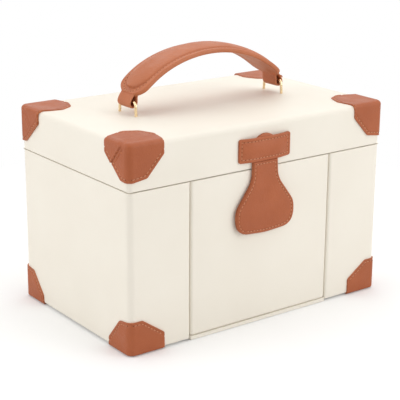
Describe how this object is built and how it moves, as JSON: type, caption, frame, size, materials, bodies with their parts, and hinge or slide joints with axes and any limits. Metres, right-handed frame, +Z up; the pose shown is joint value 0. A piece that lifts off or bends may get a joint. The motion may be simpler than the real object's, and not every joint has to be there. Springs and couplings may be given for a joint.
{
  "type": "jewellery case",
  "caption": "Vanity jewellery case in cream leatherette with tan leather corners, carrying handle and strap catch; hinged lid, swing-out wings, and a drop front over drawers.",
  "frame": {"origin": "on the ground under the middle of the closed case, on the flat underside of its base board", "axes": "+X to the right seen from the front, +Y to the back, +Z up; the catch is on the -Y side"},
  "size_m": [0.2798, 0.1839, 0.2373],
  "materials": {
    "cream_leatherette": "smooth matt leatherette over board",
    "tan_leather": "satin, stitched",
    "pale_gold": "polished",
    "cream_velvet": "short pile",
    "mirror_glass": "silvered",
    "catch_steel": "plated"
  },
  "bodies": {
    "carcass": {"base_board": "cream_leatherette", "back_panel": "cream_leatherette", "left_partition": "cream_leatherette", "right_partition": "cream_leatherette", "lower_shelf": "cream_velvet", "middle_shelf": "cream_velvet", "tray_floor": "cream_velvet", "tray_front": "cream_velvet", "tray_divider": "cream_velvet", "tray_cross_divider": "cream_velvet", "ring_cushion": "cream_velvet", "flap_hinge_strip": "cream_leatherette", "left_lid_hinge_fixed_leaf": "pale_gold", "right_lid_hinge_fixed_leaf": "pale_gold", "left_wing_hinge_fixed_leaf": "pale_gold", "right_wing_hinge_fixed_leaf": "pale_gold"},
    "lid": {"lid_shell": "cream_leatherette", "lid_lining": "cream_velvet", "mirror": "mirror_glass", "mirror_frame": "cream_leatherette", "keeper": "tan_leather", "strap_end": "tan_leather", "front_left_lid_cap": "tan_leather", "front_right_lid_cap": "tan_leather", "rear_left_lid_cap": "tan_leather", "rear_right_lid_cap": "tan_leather", "left_handle_ring": "pale_gold", "right_handle_ring": "pale_gold", "left_lid_hinge_lid_leaf": "pale_gold", "right_lid_hinge_lid_leaf": "pale_gold"},
    "tongue": {"latch_tongue": "tan_leather"},
    "handle": {"handle_strap": "tan_leather", "handle_pad": "tan_leather"},
    "flap": {"front_flap": "cream_leatherette", "catch_disc": "catch_steel"},
    "left_wing": {"left_wing_shell": "cream_leatherette", "left_hook_bar": "pale_gold", "left_pocket": "cream_velvet", "front_left_foot_cap": "tan_leather", "rear_left_foot_cap": "tan_leather", "left_wing_hinge_wing_leaf": "pale_gold"},
    "right_wing": {"right_wing_shell": "cream_leatherette", "right_hook_bar": "pale_gold", "right_pocket": "cream_velvet", "front_right_foot_cap": "tan_leather", "rear_right_foot_cap": "tan_leather", "right_wing_hinge_wing_leaf": "pale_gold"},
    "upper_drawer": {"upper_drawer_box": "cream_velvet", "upper_drawer_knob": "pale_gold", "upper_drawer_divider": "cream_velvet"},
    "lower_drawer": {"lower_drawer_box": "cream_velvet", "lower_drawer_knob": "pale_gold", "lower_drawer_divider": "cream_velvet"}
  },
  "joints": [
    {"name": "lid_hinge", "type": "hinge", "parent": "carcass", "child": "lid", "pos_m": [0, 0.0896, 0.1416], "axis": [-1, 0, 0], "range_deg": [0, 90]},
    {"name": "tongue_lift", "type": "hinge", "parent": "lid", "child": "tongue", "pos_m": [0, -0.08845, 0.1484], "axis": [-1, 0, 0], "range_deg": [0, 80], "deforming": ["latch_tongue"]},
    {"name": "handle_lift", "type": "slide", "parent": "lid", "child": "handle", "axis": [0, 0, 1], "range_m": [0, 0.0026]},
    {"name": "flap_drop", "type": "hinge", "parent": "carcass", "child": "flap", "pos_m": [0, -0.0845, 0.0061], "axis": [1, 0, 0], "range_deg": [0, 90]},
    {"name": "left_wing_swing", "type": "hinge", "parent": "carcass", "child": "left_wing", "pos_m": [-0.0769, 0.0896, 0.072], "axis": [0, 0, -1], "range_deg": [0, 90]},
    {"name": "right_wing_swing", "type": "hinge", "parent": "carcass", "child": "right_wing", "pos_m": [0.0769, 0.0896, 0.072], "axis": [0, 0, 1], "range_deg": [0, 90]},
    {"name": "upper_drawer_slide", "type": "slide", "parent": "carcass", "child": "upper_drawer", "axis": [0, -1, 0], "range_m": [0, 0.118]},
    {"name": "lower_drawer_slide", "type": "slide", "parent": "carcass", "child": "lower_drawer", "axis": [0, -1, 0], "range_m": [0, 0.0708]}
  ],
  "couplings": [
    {"joint": "upper_drawer_slide", "follows": "flap_drop", "m_per_rad": 0.075},
    {"joint": "lower_drawer_slide", "follows": "flap_drop", "m_per_rad": 0.045}
  ]
}
